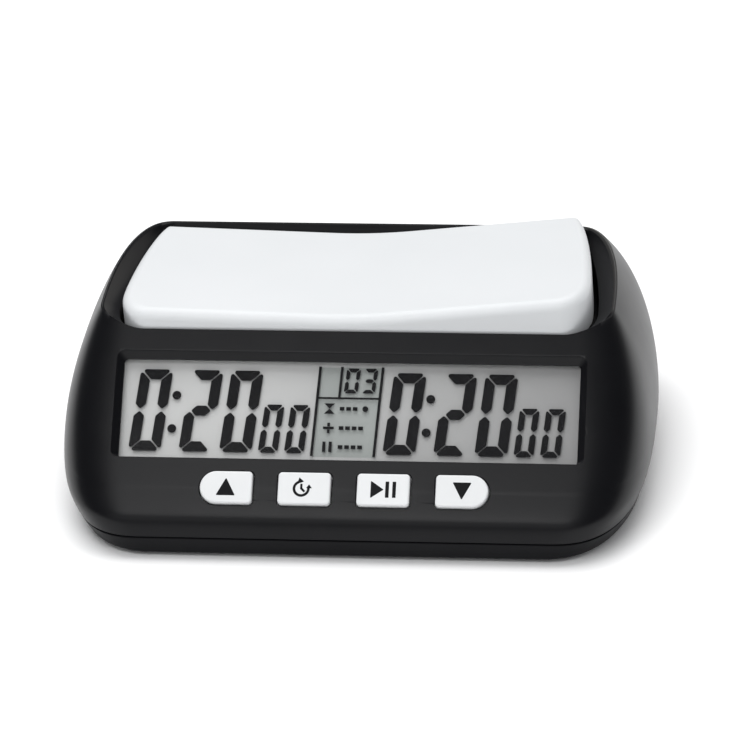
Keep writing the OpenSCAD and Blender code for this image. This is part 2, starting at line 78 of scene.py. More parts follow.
# Heights and half-widths of the case, above its underside
WALL = 2.0
BULGE_Z = 12.0
SEAM_HW = BULGE_HW - 1.4
BASE_HW = BULGE_HW - 2.6
RIM_HW = BULGE_HW - 8.9
RIM_Z = 41.75
RIM_TILT = math.radians(2.0)
RIM_BACK = 32.8
BASE_HALF_D = SEAM_HALF_D - 1.1
CREASE_Z = 8.9
CREASE_Y = -(SEAM_HALF_D - 0.8)
CREASE_SOFTNESS = 0.9
SEAM_GROOVE = 0.5

# Screws and feet
CASE_SCREWS = ((-55.5, -33), (55.5, -33), (-50, 36), (50, 36))
FEET = ((-42, -38), (42, -38), (-36, 39), (36, 39))
SCREW_POST_R = 3.2
SCREW_THREAD_R = 1.25
SCREW_HOLE_R = 1.55
SCREW_HEAD_R = 2.9
FOOT_RECESS_R = 4.5

# The battery bay's outside, and what is cut out of the bottom cover: x, y and height
BAY = ((-30.6, 30.6), (11.8, 31), (1, 19.8))
COVER_CUTS = (
    ((-29, 29), (13.4, 29.4), (-1, 18.2)),  # battery bay
    ((-30.2, 30.2), (12.6, 30.2), (-1, 1.7)),  # battery door
    ((-5, 5), (28.4, 31.2), (-1, 6.5)),  # the door's latch
    ((-6.5, 6.5), (29.7, 33.2), (-1, 1)),  # fingertip at the latch
    ((27.9, 28.8), (19.2, 23.6), (17.2, 21)),  # battery contacts
    ((-28.8, -27.9), (19.2, 23.6), (17.2, 21)),
    ((-45.9, -38.1), (0.1, 3.9), (-1, 4)),  # power slider
    ((-47.5, -36.5), (-1.2, 5.2), (-1, 0.8)),  # fingertip at the slider
)

# Display, measured up the panel from the crease
VIEW_HW = 51.0
VIEW_S = 14.4
VIEW_TOP = 37.6
BEVEL = 1.6
WINDOW_DEPTH = 1.5

# Keys
KEY_W = 11.65
KEY_H = 7.4
KEY_S = 7.4
KEY_PROUD = 1.0
KEY_EDGE = 0.45
KEY_FLANGE = 0.75
KEYS = {"up": -26.13, "mode": -8.75, "play": 8.75, "down": 26.13}

# Rocker and its well
ROCKER_L = 52.8
ROCKER_FRONT = -14.0
ROCKER_BACK = 30.2
ROCKER_MID = -3.5
ROCKER_APEX = 6.1
WING = math.tan(math.radians(3.9))
VALLEY = 9.0
WELL_FLOOR = 32.0
WELL_SIDE = 1.1
WELL_GAP = 0.5
WELL_SLOPE = 1.9
WELL_LIP = 2.4
WELL_WALL = 1.8
ROCKER_WALL = 1.8
ROCKER_CROWN = 2.4
PIN_R = 1.5
PIN_BORE_R = 1.55
BOSS_Y = ((-4.4, -0.4), (18.4, 22.4))
EAR_Y = ((-8.6, -4.9), (22.9, 26.6))
RIB_X = (46.2, 47.8)
PLUNGER_X = 14
PLUNGER_Y = 9
PLUNGER_BORE_R = 1.56


# ---- Mesh helpers ----


def link(name, mesh):
    obj = bpy.data.objects.new(name, mesh)
    bpy.context.scene.collection.objects.link(obj)
    return obj


def from_bmesh(name, bm):
    bmesh.ops.recalc_face_normals(bm, faces=bm.faces)
    mesh = bpy.data.meshes.new(name)
    bm.to_mesh(mesh)
    bm.free()
    return link(name, mesh)


def skin(bm, rings):
    """Adds a closed solid through rings of equal length."""
    rows = [[bm.verts.new(p) for p in ring] for ring in rings]
    for lower, upper in zip(rows, rows[1:]):
        for i in range(len(lower)):
            j = (i + 1) % len(lower)
            bm.faces.new((lower[i], lower[j], upper[j], upper[i]))
    bm.faces.new(rows[0][::-1])
    bm.faces.new(rows[-1])


def loft(name, rings, to_world=None):
    """A closed solid through rings of equal length, in millimetres."""
    bm = bmesh.new()
    place = to_world or (lambda p: Vector(p) * MM)
    skin(bm, [[place(p) for p in ring] for ring in rings])
    return from_bmesh(name, bm)


def apply_modifiers(obj):
    """Applies every modifier on obj."""
    depsgraph = bpy.context.evaluated_depsgraph_get()
    depsgraph.update()
    mesh = bpy.data.meshes.new_from_object(obj.evaluated_get(depsgraph))
    old = obj.data
    obj.modifiers.clear()
    obj.data = mesh
    bpy.data.meshes.remove(old)


def combine(obj, tools, operation):
    """Cuts tools from obj, or joins them to it, and removes them."""
    for tool in tools:
        mod = obj.modifiers.new("boolean", "BOOLEAN")
        mod.operation = operation
        mod.solver = "EXACT"
        mod.object = tool
    apply_modifiers(obj)
    for tool in tools:
        mesh = tool.data
        bpy.data.objects.remove(tool)
        bpy.data.meshes.remove(mesh)


def cut(obj, *tools):
    combine(obj, tools, "DIFFERENCE")


def join(obj, *tools):
    combine(obj, tools, "UNION")


def clean(obj):
    """Merges the slivers that booleans leave."""
    sliver = 0.002 * MM
    bm = bmesh.new()
    bm.from_mesh(obj.data)
    bmesh.ops.remove_doubles(bm, verts=bm.verts, dist=sliver)
    bmesh.ops.dissolve_degenerate(bm, edges=bm.edges, dist=sliver)
    bm.to_mesh(obj.data)
    bm.free()


def smooth(obj, angle=32.0):
    """Smooth shading that keeps sharp edges and lets the large faces decide."""
    obj.data.shade_smooth()
    obj.data.set_sharp_from_angle(angle=math.radians(angle))
    mod = obj.modifiers.new("normals", "WEIGHTED_NORMAL")
    mod.keep_sharp = True
    mod.weight = 80


def edge_bevel(obj, width):
    """A small rounded edge, as a moulded part has."""
    mod = obj.modifiers.new("weld", "WELD")
    mod.merge_threshold = 0.001 * MM
    mod = obj.modifiers.new("bevel", "BEVEL")
    mod.width = width * MM
    mod.segments = 2
    mod.limit_method = "ANGLE"
    mod.angle_limit = math.radians(30)
    mod.use_clamp_overlap = True


def box(name, x, y, z, lift=FOOT):
    corners = [(x[0], y[0]), (x[1], y[0]), (x[1], y[1]), (x[0], y[1])]
    return loft(name, [[(px, py, h + lift) for px, py in corners] for h in z])


def disc(x, y, r, n=48):
    """A circle's points."""
    angles = [2 * math.pi * i / n for i in range(n)]
    return [(x + r * math.cos(a), y + r * math.sin(a)) for a in angles]


def rod(name, x, y, r, z, lift=FOOT, n=48):
    return loft(name, [[(px, py, h + lift) for px, py in disc(x, y, r, n)] for h in z])


def rod_along_y(name, x, z, r, y):
    return loft(name, [[(px, h, pz) for px, pz in disc(x, z, r, 40)] for h in y])


# ---- Panel coordinates: x across, s up the panel from the crease, n out of it ----

UP = Vector((0, math.cos(PANEL_ANGLE), math.sin(PANEL_ANGLE)))
OUT = Vector((0, -math.sin(PANEL_ANGLE), math.cos(PANEL_ANGLE)))
CREASE = Vector((0, CREASE_Y, CREASE_Z + FOOT))


def panel(p):
    """A point of the panel's coordinates, as a place in the frame."""
    return (CREASE + Vector((p[0], 0, 0)) + UP * p[1] + OUT * p[2]) * MM


def at_height(points, n):
    return [(x, s, n) for x, s in points]


def plate(name, points, low, high):
    """A flat plate or prism on the panel."""
    return loft(name, [at_height(points, low), at_height(points, high)], panel)


# ---- Outlines ----


def quarter(hw, rx, p, y_mid, y_end, n):
    """A quarter of an outline: a superellipse of power p from the side to the front or back."""
    out = []
    for i in range(n + 1):
        t = math.pi / 2 * i / n
        out.append((hw - rx + rx * max(math.cos(t), 0) ** (2 / p),
                    y_mid + (y_end - y_mid) * math.sin(t) ** (2 / p)))
    return out


def outline(hw, y_front, y_back, y_mid, rx_front, p_front, rx_back, p_back, n=40):
    """A closed outline with straight front and back edges and bulging sides."""
    back = quarter(hw, rx_back, p_back, y_mid, y_back, n)
    front = quarter(hw, rx_front, p_front, y_mid, y_front, n)
    out = list(back)
    out += [(-x, y) for x, y in back[:0:-1]]
    out += [(-x, y) for x, y in front]
    out += list(front[:0:-1])
    return out


def mixed(a, b, t):
    return a + (b - a) * t


def soft_max(a, b, k):
    """The larger of two values, rounded over by k where they meet."""
    return (a + b + math.sqrt((a - b) ** 2 + k * k)) / 2


def case_hw(z):
    """The case's half-width at height z."""
    if z < BASE_H:
        return mixed(BASE_HW, SEAM_HW, z / BASE_H)
    if z < BULGE_Z:
        return BULGE_HW - (BULGE_HW - SEAM_HW) * ((BULGE_Z - z) / (BULGE_Z - BASE_H)) ** 2
    return BULGE_HW - (BULGE_HW - RIM_HW) * ((z - BULGE_Z) / (RIM_Z - BULGE_Z)) ** 2


def case_slope(z):
    """How much a ring of the case rises to the back; the rim is the steepest."""
    return math.tan(RIM_TILT) * max(0, (z - 20) / (RIM_Z - 20))


def panel_y(z):
    t = math.tan(PANEL_ANGLE)
    return (CREASE_Y + (z - CREASE_Z) / t) / (1 - case_slope(z) / t)


def case_front(z):
    if z < BASE_H:
        return -mixed(BASE_HALF_D, SEAM_HALF_D, z / BASE_H)
    band = mixed(-SEAM_HALF_D, CREASE_Y, (z - BASE_H) / (CREASE_Z - BASE_H))
    return soft_max(band, panel_y(z), CREASE_SOFTNESS) if z < CREASE_Z + 5 else panel_y(z)


def case_back(z):
    if z < BASE_H:
        return mixed(BASE_HALF_D, SEAM_HALF_D, z / BASE_H)
    return SEAM_HALF_D - (SEAM_HALF_D - RIM_BACK) * ((z - BASE_H) / (RIM_Z - BASE_H)) ** 2.5


def case_ring(z, inset=0.0, n=40, drop=0.0):
    """The case's outline at height z, moved inwards by inset and down by drop."""
    front_inset = inset / (math.sin(PANEL_ANGLE) if z > CREASE_Z else 1)
    points = outline(
        case_hw(z) - inset, case_front(z) + front_inset, case_back(z) - inset, y_mid=-0.12 * z,
        rx_front=21 - 0.12 * z - 0.0043 * z * z, p_front=2.4 + 0.6 * math.sin(math.pi * z / 42),
        rx_back=11 + 10 * max(0, 1 - z / 42) ** 1.6, p_back=2.4, n=n)
    return [(x, y, z - drop + case_slope(z) * y + FOOT) for x, y in points]


def rocker_plan(grown, grown_front):
    """The rocker's outline from above, grown all round and by its own amount at the front."""
    return outline(ROCKER_L + grown, ROCKER_FRONT - grown_front, ROCKER_BACK + grown, ROCKER_MID,
                   rx_front=7 + grown / 2, p_front=2.2, rx_back=5.4 + grown / 2, p_back=1.5)


def quarter_round(radius, steps=5):
    """How far a rounded edge lies inside and below its corner, after its first point."""
    for i in range(1, steps + 1):
        a = math.pi / 2 * i / steps
        yield radius * (1 - math.cos(a)), radius * (1 - math.sin(a))


def rounded(points, radius, n=6):
    """The polygon with each corner rounded; radius is one number or one for each corner."""
    out = []
    count = len(points)
    for i, p in enumerate(points):
        r = radius[i] if isinstance(radius, (list, tuple)) else radius
        p = Vector(p)
        a = (Vector(points[i - 1]) - p).normalized()
        b = (Vector(points[(i + 1) % count]) - p).normalized()
        half = a.angle(b) / 2
        if r <= 0 or half > math.radians(88):
            out.append(tuple(p))
            continue
        reach = r / math.tan(half)
        centre = p + (a + b).normalized() * (r / math.sin(half))
        start = p + a * reach - centre
        end = p + b * reach - centre
        sweep = start.angle_signed(end)
        for k in range(n + 1):
            turn = Matrix.Rotation(-sweep * k / n, 2)
            out.append(tuple(centre + turn @ start))
    return out


def inset_polygon(points, d):
    """A convex counter-clockwise polygon with every edge moved inwards by d."""
    out = []
    count = len(points)
    for i in range(count):
        a, b, c = (Vector(points[(i + k - 1) % count]) for k in range(3))
        e1 = (b - a).normalized()
        e2 = (c - b).normalized()
        n1 = Vector((-e1.y, e1.x))
        n2 = Vector((-e2.y, e2.x))
        out.append(tuple(b + (n1 + n2) * (d / (1 + n1.dot(n2)))))
    return out


# ---- Materials ----


class Nodes:
    """A small helper that builds one node material."""

    def __init__(self, name):
        self.mat = bpy.data.materials.new(name)
        self.mat.use_nodes = True
        self.tree = self.mat.node_tree
        self.bsdf = self.tree.nodes["Principled BSDF"]
        self.coords = self.tree.nodes.new("ShaderNodeTexCoord")

    def set(self, **values):
        for key, value in values.items():
            self.bsdf.inputs[key.replace("_", " ")].default_value = value
        return self

    def noise(self, scale, detail, rough=0.5):
        node = self.tree.nodes.new("ShaderNodeTexNoise")
        node.inputs["Scale"].default_value = scale
        node.inputs["Detail"].default_value = detail
        node.inputs["Roughness"].default_value = rough
        self.tree.links.new(self.coords.outputs["Object"], node.inputs["Vector"])
        return node.outputs["Fac"]

    def ramp(self, value, stops):
        node = self.tree.nodes.new("ShaderNodeValToRGB")
        self.tree.links.new(value, node.inputs["Fac"])
        elements = node.color_ramp.elements
        while len(elements) < len(stops):
            elements.new(0.5)
        for element, (place, colour) in zip(elements, stops):
            element.position = place
            element.color = (*colour, 1)
        return node.outputs["Color"]

    def colour(self, value, stops):
        self.tree.links.new(self.ramp(value, stops), self.bsdf.inputs["Base Color"])

    def across(self, value, left, right, weight):
        """A gradient along X, from the left end to the right, unevened a little by value."""
        split = self.tree.nodes.new("ShaderNodeSeparateXYZ")
        self.tree.links.new(self.coords.outputs["Object"], split.inputs["Vector"])
        place = self.tree.nodes.new("ShaderNodeMapRange")
        place.inputs["From Min"].default_value = left
        place.inputs["From Max"].default_value = right
        self.tree.links.new(split.outputs["X"], place.inputs["Value"])
        mix = self.tree.nodes.new("ShaderNodeMix")
        mix.inputs["Factor"].default_value = weight
        self.tree.links.new(value, mix.inputs["A"])
        self.tree.links.new(place.outputs["Result"], mix.inputs["B"])
        return mix.outputs["Result"]

    def roughness(self, value, low, high):
        node = self.tree.nodes.new("ShaderNodeMapRange")
        node.inputs["To Min"].default_value = low
        node.inputs["To Max"].default_value = high
        self.tree.links.new(value, node.inputs["Value"])
        self.tree.links.new(node.outputs["Result"], self.bsdf.inputs["Roughness"])

    def bump(self, value, strength, distance):
        node = self.tree.nodes.new("ShaderNodeBump")
        node.inputs["Strength"].default_value = strength
        node.inputs["Distance"].default_value = distance * MM
        self.tree.links.new(value, node.inputs["Height"])
        self.tree.links.new(node.outputs["Normal"], self.bsdf.inputs["Normal"])


def moulded(name, dark, light, rough, grain=0.3, grain_mm=0.25, level=0.4):
    """Moulded plastic with a fine spark-eroded grain and faint uneven gloss."""
    m = Nodes(name).set(Specular_IOR_Level=level)
    m.colour(m.noise(60, 2), [(0.3, dark), (0.7, light)])
    m.roughness(m.noise(140, 4), rough - 0.04, rough + 0.05)
    m.bump(m.noise(1000 / grain_mm, 2, 0.6), grain, 0.01)
    return m.mat


def black_abs():
    m = Nodes("black_abs")
    dark, light = (0.0042, 0.0043, 0.0054), (0.0052, 0.0053, 0.0065)
    m.colour(m.noise(45, 3), [(0.35, dark), (0.7, light)])
    m.roughness(m.noise(90, 5, 0.6), 0.3, 0.38)
    m.bump(m.noise(3200, 2, 0.6), 0.16, 0.008)
    return m.set(Specular_IOR_Level=0.22).mat


def white_abs():
    m = Nodes("white_abs")
    m.colour(m.noise(30, 2), [(0.3, (0.632, 0.647, 0.658)), (0.7, (0.652, 0.665, 0.676))])
    m.roughness(m.noise(80, 4), 0.42, 0.5)
    m.bump(m.noise(2500, 2), 0.05, 0.006)
    return m.set(Subsurface_Weight=0.04, Subsurface_Radius=(0.002, 0.002, 0.002),
                 Subsurface_Scale=0.5).mat


def display_grey():
    m = Nodes("display_grey")
    # The display's back is lighter at its left end and darker towards the right, unevened a little by
    # noise.
    tone = m.across(m.noise(14, 2, 0.4), -0.03, 0.06, 0.75)
    m.colour(tone, [(0.15, (0.53, 0.534, 0.528)), (0.85, (0.27, 0.27, 0.27))])
    m.roughness(m.noise(300, 3), 0.4, 0.5)
    m.bump(m.noise(5000, 2), 0.06, 0.004)
    return m.mat


def display_tint():
    m = Nodes("display_tint")
    m.colour(m.noise(14, 2, 0.4), [(0.3, (0.305, 0.327, 0.316)), (0.7, (0.325, 0.348, 0.336))])
    m.roughness(m.noise(300, 3), 0.4, 0.5)
    return m.mat


def segment_ink():
    m = Nodes("segment_ink")
    m.colour(m.noise(200, 2), [(0.3, (0.006, 0.006, 0.007)), (0.7, (0.009, 0.009, 0.01))])
    m.roughness(m.noise(400, 2), 0.55, 0.65)
    return m.set(Specular_IOR_Level=0.1).mat


def clear_window():
    m = Nodes("clear_window")
    m.colour(m.noise(40, 2), [(0.3, (0.03, 0.031, 0.033)), (0.7, (0.036, 0.037, 0.04))])
    m.roughness(m.noise(120, 3), 0.1, 0.16)
    return m.set(Alpha=0.04).mat


def metal(name, colour, rough):
    m = Nodes(name)
    dark = tuple(c * 0.85 for c in colour)
    m.colour(m.noise(120, 3), [(0.3, dark), (0.7, colour)])
    m.roughness(m.noise(400, 3), rough - 0.06, rough + 0.08)
    m.bump(m.noise(1500, 2), 0.08, 0.004)
    return m.set(Metallic=1.0).mat


def board_mask():
    m = Nodes("board_mask")
    m.colour(m.noise(250, 5, 0.7), [(0.35, (0.004, 0.05, 0.018)), (0.65, (0.008, 0.085, 0.03))])
    m.roughness(m.noise(300, 3), 0.28, 0.4)
    m.bump(m.noise(900, 3), 0.12, 0.02)
    return m.mat


def glossy(name, dark, light, rough, level=0.5):
    """Smooth plastic, epoxy, ink or insulation."""
    m = Nodes(name).set(Specular_IOR_Level=level)
    m.colour(m.noise(90, 3), [(0.3, dark), (0.7, light)])
    m.roughness(m.noise(160, 3), rough - 0.03, rough + 0.05)
    m.bump(m.noise(700, 2), 0.04, 0.01)
    return m.mat


BLACK = black_abs()
BLACK_BASE = moulded("black_base", (0.0045, 0.0046, 0.0056), (0.006, 0.0061, 0.0072), 0.42,
                     grain=0.35, grain_mm=0.35, level=0.1)
WHITE = white_abs()
KEY_WHITE = moulded("key_white", (0.65, 0.66, 0.665), (0.68, 0.69, 0.695), 0.42, 0.08, 0.3)
INK = glossy("key_ink", (0.006, 0.006, 0.007), (0.009, 0.009, 0.01), 0.6, 0.1)
LCD_GREY = display_grey()
LCD_TINT = display_tint()
SEGMENT = segment_ink()
CLEAR = clear_window()
STEEL = metal("steel", (0.62, 0.62, 0.64), 0.3)
NICKEL = metal("nickel", (0.72, 0.70, 0.66), 0.22)
FOIL = metal("foil", (0.85, 0.85, 0.86), 0.35)
BOARD = board_mask()
RUBBER = moulded("rubber", (0.014, 0.014, 0.015), (0.021, 0.021, 0.022), 0.72, 0.5, 0.6)
FRAME_PLASTIC = moulded("frame_plastic", (0.5, 0.5, 0.49), (0.57, 0.57, 0.56), 0.5)
DARK_PLASTIC = moulded("dark_plastic", (0.012, 0.012, 0.013), (0.02, 0.02, 0.021), 0.45)
ACETAL = moulded("acetal", (0.66, 0.66, 0.62), (0.74, 0.74, 0.7), 0.38)
EPOXY = glossy("epoxy", (0.006, 0.006, 0.007), (0.011, 0.011, 0.012), 0.25)
CERAMIC = moulded("ceramic", (0.2, 0.15, 0.09), (0.32, 0.26, 0.17), 0.5)
ELASTOMER = moulded("elastomer", (0.5, 0.22, 0.25), (0.62, 0.3, 0.33), 0.6)
SLEEVE = glossy("cell_sleeve", (0.03, 0.13, 0.07), (0.045, 0.17, 0.09), 0.25)
RED = glossy("red_insulation", (0.42, 0.02, 0.015), (0.52, 0.03, 0.02), 0.4)
BLACK_WIRE = glossy("black_insulation", (0.009, 0.009, 0.009), (0.014, 0.014, 0.014), 0.4)
GREY_WIRE = glossy("grey_insulation", (0.28, 0.29, 0.31), (0.36, 0.37, 0.39), 0.45)


def paint(obj, material):
    obj.data.materials.clear()
    obj.data.materials.append(material)


def piece(obj, material, body="case", replaced=()):
    paint(obj, material)
    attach(obj, body)
    if replaced:
        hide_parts(*replaced)


# ---- Case ----


def outer_rings():
    """The top case's outside, with rings closer together where its sides bulge."""
    edge = 0.45
    heights = [BASE_H + 0.5 + 0.35 * i for i in range(30)]
    heights += [15.8 + 1.3 * i for i in range(20)]
    heights = [z for z in heights if z < RIM_Z - edge - 0.2] + [RIM_Z - edge]
    rings = [case_ring(BASE_H, SEAM_GROOVE), case_ring(BASE_H + 0.12, 0.15), case_ring(BASE_H + 0.3)]
    rings += [case_ring(z) for z in heights]
    rings += [case_ring(RIM_Z, inset, drop=drop) for inset, drop in quarter_round(edge)]
    return rings


def rim_ring(inset, rise, front):
    """The well's opening in the rim, moved inwards by inset and up by rise."""
    points = outline(RIM_HW - inset, front, RIM_BACK - inset, y_mid=-5,
                     rx_front=8, p_front=2.4, rx_back=11, p_back=2.2)
    return [(x, y, RIM_Z + FOOT + rise + math.tan(RIM_TILT) * y) for x, y in points]


def well_cutter():
    """The hollow round the rocker, with a sloping front foot and a wide sloping rim."""
    inner = rocker_plan(WELL_SIDE, WELL_GAP)
    foot = rocker_plan(WELL_SIDE, WELL_GAP - WELL_SLOPE)
    slope = math.tan(RIM_TILT)
    lip = RIM_Z - WELL_LIP
    front = ROCKER_FRONT - WELL_GAP
    rings = [[(x, y, WELL_FLOOR + FOOT) for x, y in foot],
             [(x, y, WELL_FLOOR + WELL_SLOPE + FOOT) for x, y in inner],
             [(x, y, lip - 0.3 + FOOT + slope * y) for x, y in inner],
             [(x, y, lip + FOOT + slope * y) for x, y in rocker_plan(WELL_SIDE + 0.1, WELL_GAP)],
             rim_ring(0.8, -0.25, front),
             rim_ring(0.5, 0.03, front - 0.1),
             rim_ring(0.5, 4, front - 0.1)]
    return loft("well_cutter", rings)


def recess_cutter():
    def ring(hw, low, high, n, r):
        corners = [(-hw, low), (hw, low), (hw, high), (-hw, high)]
        return at_height(rounded(corners, r), n)

    lip = 0.25
    wide, top = VIEW_HW + BEVEL, VIEW_TOP + BEVEL
    rings = [
        ring(VIEW_HW, VIEW_S, VIEW_TOP, -4, 0.9),
        ring(VIEW_HW, VIEW_S, VIEW_TOP, -WINDOW_DEPTH, 0.9),
        ring(wide - lip, VIEW_S - 0.02, top - lip, -lip, 1.4),
        ring(wide, VIEW_S - 0.12, top, -0.06, 1.7),
        ring(wide + 0.2, VIEW_S - 0.25, top + 0.2, 0.03, 1.9),
        ring(wide + 0.2, VIEW_S - 0.25, top + 0.2, 2, 1.9),
    ]
    return loft("recess_cutter", rings, panel)


def key_shape(name, grown):
    """A key's outline: the outermost ends of the up and down keys are half-round."""
    w = KEY_W / 2 + grown
    h = KEY_H / 2 + grown
    corner = 0.9 + grown
    half_round = h - 0.001
    left = half_round if name == "up" else corner
    right = half_round if name == "down" else corner
    x = KEYS[name]
    corners = [(x - w, KEY_S - h), (x + w, KEY_S - h), (x + w, KEY_S + h), (x - w, KEY_S + h)]
    return rounded(corners, [left, right, right, left], 12)


def key_rings(name, steps):
    return [at_height(key_shape(name, grown), n) for grown, n in steps]


def key_cutter(name):
    """A key's opening, with a rounded edge at the panel."""
    steps = ((0.25, -4), (0.25, -0.3), (0.28, -0.14), (0.36, -0.05), (0.5, 0.01), (0.5, 2))
    return loft("key_cutter", key_rings(name, steps), panel)


def well_tub():
    """The walls and floor that close the well towards the inside."""
    side, front = WELL_SIDE + WELL_WALL, WELL_GAP + 1.05
    steps = ((WELL_FLOOR - WELL_WALL, WELL_GAP - WELL_SLOPE), (33.2, front), (36.5, front), (39.4, -0.5))
    rings = [[(x, y, z + FOOT) for x, y in rocker_plan(side, grown)] for z, grown in steps]
    return loft("well_tub", rings)


def make_top_case():
    shell = loft("top_shell", outer_rings())
    hollow_z = (BASE_H - 1, CREASE_Z, 12, 18, 25, 32, 39)
    cut(shell, loft("hollow", [case_ring(z, WALL, 16) for z in hollow_z]))
    posts = [well_tub()]
    for x, y in CASE_SCREWS:
        posts.append(rod("post", x, y, SCREW_POST_R, (6, 13 if y < 0 else 31), n=24))
    join(shell, *posts)
    cut(shell, well_cutter(), recess_cutter(), *[key_cutter(k) for k in KEYS])
    bosses = []
    for y in BOSS_Y:
        bosses.append(box("boss", (-3.5, 3.5), y, (WELL_FLOOR - 0.5, PIVOT[2] - FOOT)))
        bosses.append(rod_along_y("boss", 0, PIVOT[2], 3, y))
    join(shell, *bosses)
    bores = [rod_along_y("bore", 0, PIVOT[2], PIN_BORE_R, (-5, 23))]
    for side in (-1, 1):
        bores.append(rod("bore", side * PLUNGER_X, PLUNGER_Y, PLUNGER_BORE_R, (28, 34)))
    for x, y in CASE_SCREWS:
        bores.append(rod("bore", x, y, SCREW_THREAD_R, (0, 12), n=24))
    cut(shell, *bores)
    clean(shell)
    smooth(shell)
    piece(shell, BLACK, replaced=("top_case",))


def make_bottom_cover():
    edge = 0.7
    rings = [case_ring(0, edge)]
    rings += [case_ring(rise, inset) for rise, inset in quarter_round(edge)]
    rings += [case_ring(z) for z in (1.6, 2.8, BASE_H - 0.3)]
    rings += [case_ring(BASE_H - 0.12, 0.15), case_ring(BASE_H, SEAM_GROOVE)]
    shell = loft("bottom_shell", rings)
    inside = [[(x, y, z + WALL) for x, y, z in case_ring(h, WALL, 16)] for h in (0, BASE_H)]
    cut(shell, loft("hollow", inside))
    parts = [box("bay", *BAY)]
    for x, y in CASE_SCREWS:
        parts.append(rod("post", x, y, SCREW_POST_R, (1, 6), n=32))
    join(shell, *parts)
    cutters = [box("cutter", x, y, z) for x, y, z in COVER_CUTS]
    for x, y in CASE_SCREWS:
        cutters.append(rod("cutter", x, y, SCREW_HOLE_R, (-1, 10), n=32))
        cutters.append(rod("cutter", x, y, SCREW_HEAD_R, (-1, 3.8)))
    for x, y in FEET:
        cutters.append(rod("cutter", x, y, FOOT_RECESS_R, (-1, 1.2), n=64))
    cut(shell, *cutters)
    clean(shell)
    smooth(shell)
    piece(shell, BLACK_BASE, replaced=("bottom_cover",))


# ---- Rocker ----


def wing_rise(x):
    """How far the rocker's top lies above the point of its V at x; the V is rounded within VALLEY."""
    if abs(x) < VALLEY:
        return WING * (x * x / (2 * VALLEY) + VALLEY / 2)
    return WING * abs(x)


def rocker_solid(name, inset, top, low, crown):
    """The rocker's outline moved in by inset, from low up to top below its profile.

    It is built with a flat top, cut across at many x, and then raised to the wings' profile.
    """
    flat = 50.0
    levels = [(0, low), (0, flat - crown)]
    if crown:
        levels += [(d, flat - drop) for d, drop in quarter_round(crown, 8)]
    bm = bmesh.new()
    skin(bm, [[(x, y, z) for x, y in rocker_plan(-inset - d, -inset - d)] for d, z in levels])
    cuts = [-50 + 4 * i for i in range(26)] + [VALLEY * i / 8 for i in range(-8, 9)]
    for x in sorted(set(cuts)):
        geometry = bm.verts[:] + bm.edges[:] + bm.faces[:]
        bmesh.ops.bisect_plane(bm, geom=geometry, plane_co=(x, 0, 0), plane_no=(1, 0, 0), dist=1e-5)
    for v in bm.verts:
        if v.co.z > low + 1:
            v.co.z += ROCKER_APEX - top + wing_rise(v.co.x) - flat
        v.co *= MM
    return from_bmesh(name, bm)


def make_rocker():
    body = rocker_solid("rocker_lever_shell", 0, 0, 0, ROCKER_CROWN)
    cut(body, rocker_solid("hollow", ROCKER_WALL, ROCKER_WALL, -2, 0))
    parts = []
    for y in EAR_Y:
        parts.append(box("ear", (-3.4, 3.4), y, (-3, 5), lift=0))
    for side in (-1, 1):
        parts.append(rod("post", side * PLUNGER_X, PLUNGER_Y, 2, (-1.2, 5.6), lift=0, n=32))
        x = sorted(side * edge for edge in RIB_X)
        parts.append(box("rib", x, (-13, 25.6), (0.1, 8.6), lift=0))
    join(body, *parts)
    cut(body, rod_along_y("bore", 0, 0, PIN_R, (-9, 27)))
    clean(body)
    tilt = Matrix.Rotation(-ROCK, 4, "Y")
    place = Matrix.Translation(Vector((0, 0, PIVOT[2])) * MM)
    body.data.transform(place @ tilt)
    smooth(body, 38)
    piece(body, WHITE, body="rocker_lever", replaced=("rocker",))


# ---- Keys and their symbols ----


def make_key(name):
    """A key's cap, with a flange behind the panel and a stem down to its switch."""
    steps = [(KEY_FLANGE, -2.9), (KEY_FLANGE, -2.15), (0, -2.1), (0, KEY_PROUD - KEY_EDGE)]
    steps += [(-inset, KEY_PROUD - drop) for inset, drop in quarter_round(KEY_EDGE)]
    cap = loft("key_cap_" + name, key_rings(name, steps), panel)
    stem = disc(KEYS[name], KEY_S, 1.2, 32)
    join(cap, plate("stem", stem, -4.65, -2.5))
    smooth(cap, 40)
    piece(cap, KEY_WHITE, body=name + "_key", replaced=("key_" + name,))


def arc_band(x, s, r_in, r_out, start, end, n=28):
    """A stretch of a ring, as quads."""
    angles = [mixed(start, end, i / n) for i in range(n + 1)]
    inner, outer = ([(x + r * math.cos(a), s + r * math.sin(a)) for a in angles] for r in (r_in, r_out))
    return [[outer[i], outer[i + 1], inner[i + 1], inner[i]] for i in range(n)]


